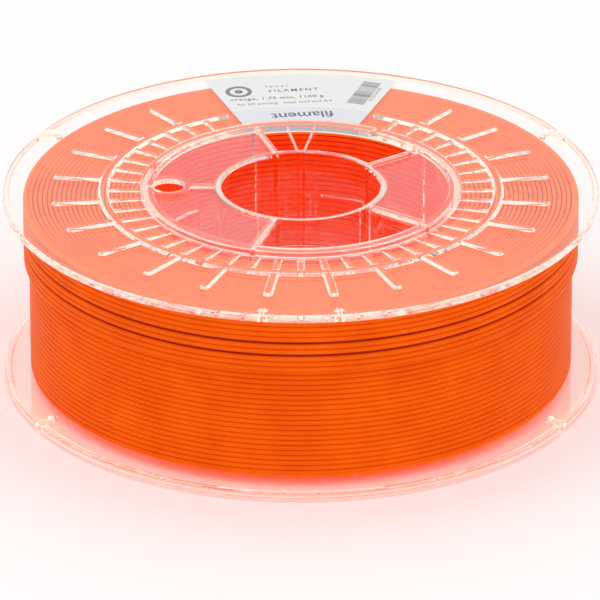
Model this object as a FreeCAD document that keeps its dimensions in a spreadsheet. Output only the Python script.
import FreeCAD, Part
import Sketcher
import math
import os

# Filament spool: two alike clear mouldings that push together at the hub, one coil of filament
# and a label. The spool lies flat: +Z is the spool's axis, and Z = 0 is the plane it rests on.
# Each spool half is drawn in a frame of its own, with its Z = 0 at the parting plane half way
# up the spool and its flange at the top. The lower half is the same drawing turned over about X.

DIMENSIONS = [
    # alias, millimetres or degrees, what it is
    ("flange_d", 200, "outside diameter of both flanges"),
    ("rim_span", 66.5, "width of the spool from rim face to rim face"),
    ("hub_proud", 1.2, "how far the hub ring stands out past each rim face"),
    ("rim_high", 2.8, "thickness of the flange at its rim"),
    ("rim_wide", 2.3, "radial width of the raised rim"),
    ("rim_chamfer", 0.5, "chamfer on the edges of the rim"),
    ("plate_thick", 1.8, "thickness of the flange plate inside the rim"),
    ("drum_d", 107, "outside diameter of the drum that the filament lies on"),
    ("drum_wall", 2.2, "wall of the drum"),
    ("hub_ring_in", 99.6, "inside diameter of the raised hub ring"),
    ("hub_ring_out", 107.8, "outside diameter of the raised hub ring"),
    ("hub_ring_deep", 2.9, "depth of the hub ring's inner face, from its top"),
    ("hub_chamfer", 0.35, "chamfer on the edges of the hub ring and collar"),
    ("disc_thick", 1.2, "thickness of the hub disc"),
    ("disc_recess", 0.8, "depth of the hub disc below the hub ring"),
    ("bore_d", 53.4, "bore of the central tube"),
    ("tube_wall", 1.9, "wall of the central tube"),
    ("collar_wide", 2.3, "radial width of the collar round the bore, on the hub disc"),
    ("spoke_count", 5, "spokes of the hub"),
    ("spoke_start", 36, "angle of the first spoke"),
    ("spoke_wide", 2.2, "width of a spoke"),
    ("web_thick", 1.6, "thickness of the upright web under each spoke"),
    ("mid_ring_in", 128.6, "inside diameter of the ring between the two sets of ribs"),
    ("mid_ring_out", 136.2, "outside diameter of that ring"),
    ("mid_ring_slope", 0.9, "radial run of each sloping side of that ring"),
    ("outer_rib_reach", 84.4, "radius where the outer ribs end"),
    ("outer_rib_wide", 3.4, "width of an outer rib at its foot"),
    ("outer_rib_count", 20, "outer ribs, with none in the label field"),
    ("outer_rib_pitch", 15, "angle from one outer rib to the next"),
    ("inner_rib_wide", 2.6, "width of an inner rib at its foot"),
    ("inner_rib_low", 0.35, "height of an inner rib where it meets the hub ring"),
    ("inner_rib_count", 41, "inner ribs, with none in the label field"),
    ("inner_rib_pitch", 7.5, "angle from one inner rib to the next"),
    ("rib_draft", 35, "draft of the sides of the ribs"),
    ("field_half_angle", 22.5, "half the angle of the label field left free of the ring"),
    ("drive_hole_d", 11, "bore of the drive hole"),
    ("drive_boss_d", 15, "outside diameter of the boss round the drive hole"),
    ("drive_reach", 44.3, "distance of the drive hole from the spool's axis"),
    ("start_notch_wide", 3, "width of the notch in the hub ring for the filament's start"),
    ("start_notch_angle", 60, "angle of that notch"),
    ("clamp_wall", 0.8, "thickness of the two thin walls that meet in a V behind the bore"),
    ("clamp_spread", 5.1, "half the distance between those walls at the drum"),
    ("clamp_close", 0.95, "half the distance between those walls at the central tube"),
    ("tuck_reach", 94.2, "distance of the filament-end holes from the axis"),
    ("tuck_hole_d", 3.4, "diameter of the filament-end holes through the plate"),
    ("tuck_bore_d", 1.9, "diameter of the filament-end holes through the rim"),
    ("tuck_lug_d", 3.8, "diameter of the lug on the rim that each of those goes through"),
    ("tuck_lug_inset", 2.4, "distance of the lug's axis from the flange's edge"),
    ("tuck_side_angle", 61.5, "angle from the label's middle to the filament-end holes beside it"),
    ("tuck_front_angle", 7.5, "half the angle between the two filament-end holes opposite"),
    ("rim_flat_wide", 17, "width of the flat on the rim between those two holes"),
    ("tongue_reach", 10, "how far the tongues reach into the other half"),
    ("tongue_root", 8, "height of the tongues' roots inside their own drum"),
    ("tongue_thick", 1.6, "thickness of a tongue"),
    ("tongue_gap", 0.15, "clearance between a tongue and the other half's drum"),
    ("tongue_half_angle", 10, "half the angle that a tongue covers"),
    ("parting_gap", 0.1, "gap left between the two halves at the parting plane"),
    ("coil_gap", 0.3, "gap between the drum and the coil's innermost layer"),
    ("coil_top_gap", 0.3, "gap between the coil and the upper flange"),
    ("coil_d", 182.8, "outside diameter of the coil's last full layer"),
    ("coil_last_d", 186.4, "outside diameter of the part layer wound over it"),
    ("coil_last_high", 22.5, "height of that part layer, measured down from the coil's top"),
    ("label_in", 57, "inner radius of the label"),
    ("label_out", 97, "outer radius of the label"),
    ("label_half_angle", 20, "half the angle that the label covers"),
    ("label_thick", 0.1, "thickness of the label"),
    ("cut_over", 1, "how far a cut runs past the face it opens"),
    ("wall_overlap", 0.5, "how far a thin wall reaches into the walls it joins"),
    ("pin_room_short", 0.01, "how far the room for the drive pin stops short of the drum"),
]

LABEL_MIDDLE = 90  # angle of the middle of the label field
TONGUE_ANGLES = (17, 72, 144)  # middles of the tongues, which miss each other's when turned over
WINDOW_STEPS = (0, 3)  # the hub's open sectors are the ones that follow these spokes
LEAST_CHANGE = 0.01  # mm3; a feature that changes the volume by less than this has failed

doc = FreeCAD.newDocument("filament_spool")
sheet = doc.addObject("Spreadsheet::Sheet", "Dims")
for row, (alias, value, note) in enumerate(DIMENSIONS, start=1):
    sheet.set(f"A{row}", note)
    sheet.set(f"B{row}", str(value))
    sheet.setAlias(f"B{row}", alias)
doc.recompute()

# Heights and radii that follow from the driving dimensions, in a half's own frame.
FLANGE_R = "(Dims.flange_d / 2)"
RIM_TOP = "(Dims.rim_span / 2)"
HUB_TOP = f"({RIM_TOP} + Dims.hub_proud)"
FLANGE_IN = f"({RIM_TOP} - Dims.rim_high)"
PLATE_TOP = f"({FLANGE_IN} + Dims.plate_thick)"
RIB_HIGH = "(Dims.rim_high - Dims.plate_thick)"
DISC_TOP = f"({HUB_TOP} - Dims.disc_recess)"
DISC_LOW = f"({DISC_TOP} - Dims.disc_thick)"
RING_LOW = f"({HUB_TOP} - Dims.hub_ring_deep)"
PART_LINE = "(Dims.parting_gap / 2)"
DRUM_R = "(Dims.drum_d / 2)"
DRUM_IN = f"({DRUM_R} - Dims.drum_wall)"
RING_IN = "(Dims.hub_ring_in / 2)"
RING_OUT = "(Dims.hub_ring_out / 2)"
BORE_R = "(Dims.bore_d / 2)"
TUBE_R = f"({BORE_R} + Dims.tube_wall)"
COLLAR_R = f"({BORE_R} + Dims.collar_wide)"
MID_IN = "(Dims.mid_ring_in / 2)"
MID_OUT = "(Dims.mid_ring_out / 2)"


def value_of(expression):
    """The present value of an expression on the sheet."""
    return float(sheet.evalExpression(expression))


def new_sketch(body, name, role="XY_Plane", height="0", turn="0"):
    """A sketch on one of the body's own planes, moved along its normal and turned about it."""
    plane = next(f for f in body.Origin.OriginFeatures if f.Role == role)
    sketch = body.newObject("Sketcher::SketchObject", name)
    sketch.AttachmentSupport = [(plane, "")]
    sketch.MapMode = "FlatFace"
    sketch.setExpression("AttachmentOffset.Base.z", height)
    sketch.setExpression("AttachmentOffset.Rotation.Angle", turn)
    return sketch


def constrain(sketch, name, kind, places, expression):
    """One named dimension of a sketch, bound to the sheet."""
    sketch.addConstraint(Sketcher.Constraint(kind, *places, value_of(expression)))
    at = sketch.ConstraintCount - 1
    sketch.renameConstraint(at, name)
    sketch.setExpression(f"Constraints.{name}", expression)


def draw_outline(sketch, corners, name="corner"):
    """A closed outline of straight lines through corners, each a pair of expressions."""
    first = sketch.GeometryCount
    ends = [FreeCAD.Vector(value_of(x), value_of(y), 0) for x, y in corners]
    for i, end in enumerate(ends):
        sketch.addGeometry(Part.LineSegment(end, ends[(i + 1) % len(ends)]))
    for i, (x, y) in enumerate(corners):
        line = first + i
        following = first + (i + 1) % len(corners)
        sketch.addConstraint(Sketcher.Constraint("Coincident", line, 2, following, 1))
        constrain(sketch, f"{name}{i}x", "DistanceX", (-1, 1, line, 1), x)
        constrain(sketch, f"{name}{i}y", "DistanceY", (-1, 1, line, 1), y)


def draw_circle(sketch, name, radius, x="0", y="0"):
    """A circle of a bound radius at a bound place."""
    centre = FreeCAD.Vector(value_of(x), value_of(y), 0)
    at = sketch.addGeometry(Part.Circle(centre, FreeCAD.Vector(0, 0, 1), value_of(radius)))
    constrain(sketch, f"{name}r", "Radius", (at,), radius)
    constrain(sketch, f"{name}x", "DistanceX", (-1, 1, at, 3), x)
    constrain(sketch, f"{name}y", "DistanceY", (-1, 1, at, 3), y)


def draw_sector(sketch, r_in, r_out, half_angle):
    """An annular sector that lies evenly about the sketch's own X axis."""
    half = math.radians(value_of(half_angle))
    centre = FreeCAD.Vector(0, 0, 0)
    up = FreeCAD.Vector(0, 0, 1)
    arcs = []
    for name, radius in (("inner", r_in), ("outer", r_out)):
        circle = Part.Circle(centre, up, value_of(radius))
        arcs.append(sketch.addGeometry(Part.ArcOfCircle(circle, -half, half)))
        sketch.addConstraint(Sketcher.Constraint("Coincident", arcs[-1], 3, -1, 1))
        constrain(sketch, name, "Radius", (arcs[-1],), radius)
    inner, outer = arcs
    for name, side, end in (("low", -1, 1), ("high", 1, 2)):
        out = FreeCAD.Vector(math.cos(half), side * math.sin(half), 0)
        edge = Part.LineSegment(out * value_of(r_in), out * value_of(r_out))
        line = sketch.addGeometry(edge)
        sketch.addConstraint(Sketcher.Constraint("Coincident", line, 1, inner, end))
        sketch.addConstraint(Sketcher.Constraint("Coincident", line, 2, outer, end))
        sketch.addConstraint(Sketcher.Constraint("PointOnObject", -1, 1, line))
        constrain(sketch, name, "Angle", (line,), f"{side} * {half_angle}")


def revolve(body, name, sketch):
    """Turns a profile on the XZ plane all the way round the spool's axis."""
    feature = body.newObject("PartDesign::Revolution", name)
    feature.Profile = sketch
    feature.ReferenceAxis = (sketch, ["V_Axis"])
    feature.Angle = 360
    return feature


def pad(body, name, sketch, length, draft="0"):
    """Raises a sketch by a bound length, with drafted sides if asked."""
    feature = body.newObject("PartDesign::Pad", name)
    feature.Profile = sketch
    feature.setExpression("Length", length)
    if draft != "0":
        feature.setExpression("TaperAngle", f"-{draft}")
    return feature


def pocket(body, name, sketch, length):
    """Cuts a sketch downwards by a bound length."""
    feature = body.newObject("PartDesign::Pocket", name)
    feature.Profile = sketch
    feature.setExpression("Length", length)
    return feature


def repeat(body, name, feature, count, extent):
    """Repeats one feature evenly about the spool's axis."""
    axis = next(f for f in body.Origin.OriginFeatures if f.Role == "Z_Axis")
    pattern = body.newObject("PartDesign::PolarPattern", name)
    pattern.Originals = [feature]
    pattern.Axis = (axis, [""])
    pattern.setExpression("Occurrences", count)
    pattern.setExpression("Angle", extent)
    body.Tip = pattern
    return pattern


def checked(body, what, grows, before):
    """Recomputes, and stops if the last feature changed nothing or changed it the wrong way."""
    doc.recompute()
    volume = body.Shape.Volume
    if (volume - before) * (1 if grows else -1) <= LEAST_CHANGE:
        raise RuntimeError(f"{body.Label}: {what} changed the volume by {volume - before:.3f}")
    print(f"{body.Label:18s} {what:24s} {volume - before:12.1f} mm3")
    return volume


def flange_and_hub(body):
    """The round body of a half: flange with rim, hub ring, hub disc, drum wall and bore tube."""
    rim_in = f"({FLANGE_R} - Dims.rim_wide)"
    cut, nip = "Dims.rim_chamfer", "Dims.hub_chamfer"
    profile = new_sketch(body, "round_profile", "XZ_Plane")
    draw_outline(
        profile,
        [
            (BORE_R, PART_LINE),
            (BORE_R, f"{HUB_TOP} - {nip}"),
            (f"{BORE_R} + {nip}", HUB_TOP),
            (f"{COLLAR_R} - {nip}", HUB_TOP),
            (COLLAR_R, f"{HUB_TOP} - {nip}"),
            (COLLAR_R, DISC_TOP),
            (RING_IN, DISC_TOP),
            (RING_IN, f"{HUB_TOP} - {nip}"),
            (f"{RING_IN} + {nip}", HUB_TOP),
            (f"{RING_OUT} - {nip}", HUB_TOP),
            (RING_OUT, f"{HUB_TOP} - {nip}"),
            (RING_OUT, PLATE_TOP),
            (MID_IN, PLATE_TOP),
            (f"{MID_IN} + Dims.mid_ring_slope", RIM_TOP),
            (f"{MID_OUT} - Dims.mid_ring_slope", RIM_TOP),
            (MID_OUT, PLATE_TOP),
            (rim_in, PLATE_TOP),
            (f"{rim_in} + {cut}", RIM_TOP),
            (f"{FLANGE_R} - {cut}", RIM_TOP),
            (FLANGE_R, f"{RIM_TOP} - {cut}"),
            (FLANGE_R, f"{FLANGE_IN} + {cut}"),
            (f"{FLANGE_R} - {cut}", FLANGE_IN),
            (DRUM_R, FLANGE_IN),
            (DRUM_R, PART_LINE),
            (DRUM_IN, PART_LINE),
            (DRUM_IN, RING_LOW),
            (RING_IN, RING_LOW),
            (RING_IN, DISC_LOW),
            (TUBE_R, DISC_LOW),
            (TUBE_R, PART_LINE),
        ],
    )
    return revolve(body, "round_body", profile)


def windows(body, volume):
    """Opens the hub disc between the spokes named by WINDOW_STEPS."""
    step = "360 / Dims.spoke_count"
    for i in WINDOW_STEPS:
        turn = f"Dims.spoke_start + ({i} + 0.5) * {step}"
        sketch = new_sketch(body, f"window_outline_{i}", height=HUB_TOP, turn=turn)
        draw_sector(sketch, TUBE_R, RING_IN, f"({step} / 2)")
        pocket(body, f"window_{i}", sketch, f"{HUB_TOP} - {DISC_LOW} + Dims.cut_over")
        volume = checked(body, f"window {i}", False, volume)
    return volume


def spokes_and_webs(body, volume):
    """Five spokes on the hub disc, each with an upright web under it down to the parting plane."""
    for what, width, foot, height in (
        ("spoke", "Dims.spoke_wide", DISC_LOW, f"{HUB_TOP} - {DISC_LOW}"),
        ("web", "Dims.web_thick", PART_LINE, f"{DISC_LOW} - {PART_LINE} + Dims.disc_thick / 2"),
    ):
        sketch = new_sketch(body, f"{what}_outline", height=foot, turn="Dims.spoke_start")
        near, far = f"{TUBE_R} - Dims.tube_wall / 2", f"{DRUM_IN} + Dims.drum_wall / 2"
        half = f"{width} / 2"
        draw_outline(sketch, [(near, f"-{half}"), (far, f"-{half}"), (far, half), (near, half)])
        first = pad(body, f"{what}_first", sketch, height)
        doc.recompute()
        repeat(body, f"{what}_set", first, "Dims.spoke_count", "360")
        volume = checked(body, f"{what} set", True, volume)
    return volume


def filament_start(body, volume):
    """Two thin walls in a V behind the bore, and the notch in the hub ring beside them."""
    sketch = new_sketch(body, "clamp_outline", height=PART_LINE)
    near, far = f"{TUBE_R} - Dims.wall_overlap", f"{DRUM_IN} + Dims.wall_overlap"
    for side, name in ((1, "right"), (-1, "left")):
        inner = [(f"{side} * (Dims.clamp_close - Dims.clamp_wall / 2)", near)]
        inner.append((f"{side} * (Dims.clamp_spread - Dims.clamp_wall / 2)", far))
        outer = [(f"{side} * (Dims.clamp_spread + Dims.clamp_wall / 2)", far)]
        outer.append((f"{side} * (Dims.clamp_close + Dims.clamp_wall / 2)", near))
        draw_outline(sketch, inner + outer, name)
    pad(body, "clamp_walls", sketch, f"{DISC_TOP} - {PART_LINE}")
    volume = checked(body, "clamp walls", True, volume)
    sketch = new_sketch(body, "notch_outline", height=HUB_TOP, turn="Dims.start_notch_angle")
    near, far = f"{RING_IN} - Dims.cut_over", f"{RING_OUT} + Dims.cut_over"
    half = "Dims.start_notch_wide / 2"
    draw_outline(sketch, [(near, f"-{half}"), (far, f"-{half}"), (far, half), (near, half)])
    pocket(body, "start_notch", sketch, f"{HUB_TOP} - {PLATE_TOP}")
    return checked(body, "start notch", False, volume)


def ribs(body, volume):
    """Outer and inner ribs on the flange, with none in the label field."""
    gap = "(360 - {count} * {pitch})"
    outer_gap = gap.format(count="Dims.outer_rib_count", pitch="Dims.outer_rib_pitch")
    outer_start = f"{LABEL_MIDDLE} + {outer_gap} / 2 + Dims.outer_rib_pitch / 2"
    sketch = new_sketch(body, "outer_rib_outline", height=PLATE_TOP, turn=outer_start)
    near, half = f"{MID_OUT} - Dims.mid_ring_slope", "Dims.outer_rib_wide / 2"
    far = "Dims.outer_rib_reach"
    round_in = f"{far} - {half}"
    nip = f"{half} / 2"
    corners = [(near, f"-{half}"), (round_in, f"-{half}"), (f"{far} - {nip} / 2", f"-{nip}")]
    corners += [(f"{far} - {nip} / 2", nip), (round_in, half), (near, half)]
    draw_outline(sketch, corners)
    first = pad(body, "outer_rib_first", sketch, RIB_HIGH, "Dims.rib_draft")
    doc.recompute()
    extent = "(Dims.outer_rib_count - 1) * Dims.outer_rib_pitch"
    repeat(body, "outer_ribs", first, "Dims.outer_rib_count", extent)
    volume = checked(body, "outer ribs", True, volume)

    inner_gap = "(360 - (Dims.inner_rib_count - 1) * Dims.inner_rib_pitch)"
    inner_start = f"{LABEL_MIDDLE} + {inner_gap} / 2"
    sketch = new_sketch(body, "inner_rib_outline", height=PLATE_TOP, turn=inner_start)
    near, far = f"{RING_OUT} - Dims.wall_overlap", f"{MID_IN} + Dims.mid_ring_slope"
    half = "Dims.inner_rib_wide / 2"
    draw_outline(sketch, [(near, f"-{half}"), (far, f"-{half}"), (far, half), (near, half)])
    first = pad(body, "inner_rib_first", sketch, RIB_HIGH, "Dims.rib_draft")
    doc.recompute()
    extent = "(Dims.inner_rib_count - 1) * Dims.inner_rib_pitch"
    repeat(body, "inner_ribs", first, "Dims.inner_rib_count", extent)
    return checked(body, "inner ribs", True, volume)


def rib_slope(body, volume):
    """Slopes the tops of the inner ribs down towards the hub ring."""
    sketch = new_sketch(body, "rib_slope_profile", "XZ_Plane")
    above = f"{RIM_TOP} + Dims.cut_over"
    draw_outline(
        sketch,
        [
            (RING_OUT, f"{PLATE_TOP} + Dims.inner_rib_low"),
            (f"{MID_IN} + Dims.mid_ring_slope", RIM_TOP),
            (f"{MID_IN} + Dims.mid_ring_slope", above),
            (RING_OUT, above),
        ],
    )
    feature = body.newObject("PartDesign::Groove", "rib_slope")
    feature.Profile = sketch
    feature.ReferenceAxis = (sketch, ["V_Axis"])
    feature.Angle = 360
    return checked(body, "slope of the inner ribs", False, volume)


def label_field(body, volume):
    """Leaves the ring between the ribs out of the label field."""
    sketch = new_sketch(body, "field_outline", height=RIM_TOP, turn=str(LABEL_MIDDLE))
    near, far = f"{MID_IN} - Dims.cut_over", f"{MID_OUT} + Dims.cut_over"
    draw_sector(sketch, near, far, "Dims.field_half_angle")
    pocket(body, "label_field", sketch, RIB_HIGH)
    return checked(body, "label field", False, volume)


def drive_hole(body, volume):
    """Boss and through-hole for a drive pin on the third spoke, clear of the web below it."""
    x = "-Dims.drive_reach"
    sketch = new_sketch(body, "drive_boss_outline", height=DISC_LOW)
    draw_circle(sketch, "boss", "Dims.drive_boss_d / 2", x)
    pad(body, "drive_boss", sketch, f"{HUB_TOP} - {DISC_LOW}")
    volume = checked(body, "drive boss", True, volume)
    sketch = new_sketch(body, "drive_hole_outline", height=HUB_TOP)
    draw_circle(sketch, "hole", "Dims.drive_hole_d / 2", x)
    pocket(body, "drive_hole", sketch, f"{HUB_TOP} - {PART_LINE} + Dims.cut_over")
    volume = checked(body, "drive hole", False, volume)
    sketch = new_sketch(body, "pin_room_outline", height=DISC_LOW)
    near, far = f"-({DRUM_IN} - Dims.pin_room_short)", f"{x} + Dims.drive_boss_d / 2"
    half = "Dims.web_thick"
    draw_outline(sketch, [(near, f"-{half}"), (far, f"-{half}"), (far, half), (near, half)])
    pocket(body, "pin_room", sketch, f"{DISC_LOW} - {PART_LINE} + Dims.cut_over")
    return checked(body, "room for the pin", False, volume)


def tuck_angles():
    """Angles of the four filament-end holes, as expressions."""
    side, front = "Dims.tuck_side_angle", "Dims.tuck_front_angle"
    opposite = LABEL_MIDDLE + 180
    return (
        f"({LABEL_MIDDLE} - {side})",
        f"({LABEL_MIDDLE} + {side})",
        f"({opposite} - {front})",
        f"({opposite} + {front})",
    )


def filament_end(body, volume):
    """Lugs on the rim with a hole through the plate and one out through the rim, and a flat."""
    lugs = new_sketch(body, "lug_outline", height=PLATE_TOP)
    holes = new_sketch(body, "tuck_hole_outline", height=PLATE_TOP)
    for i, angle in enumerate(tuck_angles()):
        for sketch, reach, size in (
            (lugs, f"({FLANGE_R} - Dims.tuck_lug_inset)", "Dims.tuck_lug_d / 2"),
            (holes, "Dims.tuck_reach", "Dims.tuck_hole_d / 2"),
        ):
            x, y = f"{reach} * cos({angle})", f"{reach} * sin({angle})"
            draw_circle(sketch, f"tuck{i}", size, x, y)
    pad(body, "tuck_lugs", lugs, RIB_HIGH)
    volume = checked(body, "lugs on the rim", True, volume)
    pocket(body, "tuck_holes", holes, "Dims.plate_thick + Dims.cut_over")
    volume = checked(body, "filament-end holes", False, volume)
    # From each of those a second hole goes straight out through the lug and the rim.
    plane = next(f for f in body.Origin.OriginFeatures if f.Role == "YZ_Plane")
    for i, angle in enumerate(tuck_angles()):
        bore = body.newObject("PartDesign::SubtractiveCylinder", f"tuck_bore_{i}")
        bore.AttachmentSupport = [(plane, "")]
        bore.MapMode = "FlatFace"
        turn = FreeCAD.Rotation(FreeCAD.Vector(0, 1, 0), value_of(angle))
        bore.AttachmentOffset = FreeCAD.Placement(FreeCAD.Vector(0, 0, 0), turn)
        bore.setExpression("AttachmentOffset.Rotation.Angle", angle)
        bore.setExpression("AttachmentOffset.Base.x", f"Dims.tuck_reach * sin({angle})")
        bore.setExpression("AttachmentOffset.Base.y", f"{RIM_TOP} - Dims.rim_high / 2")
        bore.setExpression("AttachmentOffset.Base.z", f"Dims.tuck_reach * cos({angle})")
        bore.setExpression("Radius", "Dims.tuck_bore_d / 2")
        bore.setExpression("Height", f"{FLANGE_R} - Dims.tuck_reach + Dims.cut_over")
        volume = checked(body, f"hole through the rim {i}", False, volume)
    return volume


def rim_flat(body, volume):
    """The flat on the edge of the flange opposite the label."""
    sketch = new_sketch(body, "rim_flat_outline", height=RIM_TOP)
    half = "Dims.rim_flat_wide / 2"
    depth = f"-sqrt({FLANGE_R} ^ 2 - ({half}) ^ 2)"
    beyond = f"-({FLANGE_R} + Dims.cut_over)"
    wide = f"({half} + Dims.cut_over)"
    draw_outline(
        sketch,
        [(f"-{wide}", beyond), (wide, beyond), (wide, depth), (f"-{wide}", depth)],
    )
    pocket(body, "rim_flat", sketch, "Dims.rim_high")
    return checked(body, "flat on the rim", False, volume)


def tongues(body, volume):
    """Three tongues inside the drum that reach into the other half."""
    inner = f"({DRUM_IN} - Dims.tongue_gap - Dims.tongue_thick)"
    for what, outer, foot, height in (
        ("root", f"{DRUM_IN} + Dims.drum_wall / 2", PART_LINE, f"Dims.tongue_root - {PART_LINE}"),
        (
            "tongue",
            f"{DRUM_IN} - Dims.tongue_gap",
            "-Dims.tongue_reach",
            "Dims.tongue_reach + Dims.tongue_root / 2",
        ),
    ):
        for i, middle in enumerate(TONGUE_ANGLES):
            sketch = new_sketch(body, f"{what}_outline_{i}", height=foot, turn=str(middle))
            draw_sector(sketch, inner, outer, "Dims.tongue_half_angle")
            pad(body, f"{what}_{i}", sketch, height)
            volume = checked(body, f"{what} {i}", True, volume)
    return volume


def spool_half(name):
    """One moulding of the spool, its flange upwards."""
    body = doc.addObject("PartDesign::Body", name)
    body.Label = name
    flange_and_hub(body)
    volume = checked(body, "round body", True, 0)
    volume = windows(body, volume)
    volume = spokes_and_webs(body, volume)
    volume = filament_start(body, volume)
    volume = ribs(body, volume)
    volume = rib_slope(body, volume)
    volume = label_field(body, volume)
    volume = drive_hole(body, volume)
    volume = filament_end(body, volume)
    volume = rim_flat(body, volume)
    tongues(body, volume)
    body.setExpression("Placement.Base.z", HUB_TOP)
    return body


def turned_half(name, original):
    """The same moulding again, turned over about the X axis."""
    body = doc.addObject("PartDesign::Body", name)
    body.Label = name
    copy = body.newObject("PartDesign::FeatureBase", f"{name}_moulding")
    copy.BaseFeature = original
    body.Tip = copy
    body.Placement.Rotation = FreeCAD.Rotation(FreeCAD.Vector(1, 0, 0), 180)
    body.setExpression("Placement.Base.z", HUB_TOP)
    checked(body, "turned moulding", True, 0)
    return body


def filament_winding():
    """The coil as one solid: full layers, and a part layer over them near the upper flange."""
    body = doc.addObject("PartDesign::Body", "filament_winding")
    body.Label = "filament_winding"
    inner = f"({DRUM_R} + Dims.coil_gap)"
    top = f"({FLANGE_IN} - Dims.coil_top_gap)"
    step = f"({top} - Dims.coil_last_high)"
    full, last = "Dims.coil_d / 2", "Dims.coil_last_d / 2"
    profile = new_sketch(body, "coil_profile", "XZ_Plane")
    draw_outline(
        profile,
        [
            (inner, f"-{FLANGE_IN}"),
            (full, f"-{FLANGE_IN}"),
            (full, f"{step} - ({last} - {full})"),
            (last, step),
            (last, top),
            (inner, top),
        ],
    )
    revolve(body, "coil", profile)
    checked(body, "coil", True, 0)
    body.setExpression("Placement.Base.z", HUB_TOP)
    return body


def printed_label():
    """The label, flat on the upper flange's plate."""
    body = doc.addObject("PartDesign::Body", "printed_label")
    body.Label = "printed_label"
    sketch = new_sketch(body, "label_outline", height=PLATE_TOP, turn=str(LABEL_MIDDLE))
    draw_sector(sketch, "Dims.label_in", "Dims.label_out", "Dims.label_half_angle")
    pad(body, "label_sheet", sketch, "Dims.label_thick")
    checked(body, "label", True, 0)
    body.setExpression("Placement.Base.z", HUB_TOP)
    return body


upper_half = spool_half("upper_spool_half")
lower_half = turned_half("lower_spool_half", upper_half)
pieces = [upper_half, lower_half, filament_winding(), printed_label()]
doc.recompute()

for item in doc.Objects:
    if {"Invalid", "Error"} & set(item.State):
        raise RuntimeError(f"{item.Label} failed: {item.State}")
for piece in pieces:
    if piece.Shape.isNull() or not piece.Shape.isValid() or len(piece.Shape.Solids) != 1:
        raise RuntimeError(f"{piece.Label} is not one valid solid")

os.makedirs("parts", exist_ok=True)
for piece in pieces:
    piece.Shape.exportStep(f"parts/{piece.Label}.step")
    print(f"{piece.Label:18s} {piece.Shape.Volume / 1000:9.2f} cm3")
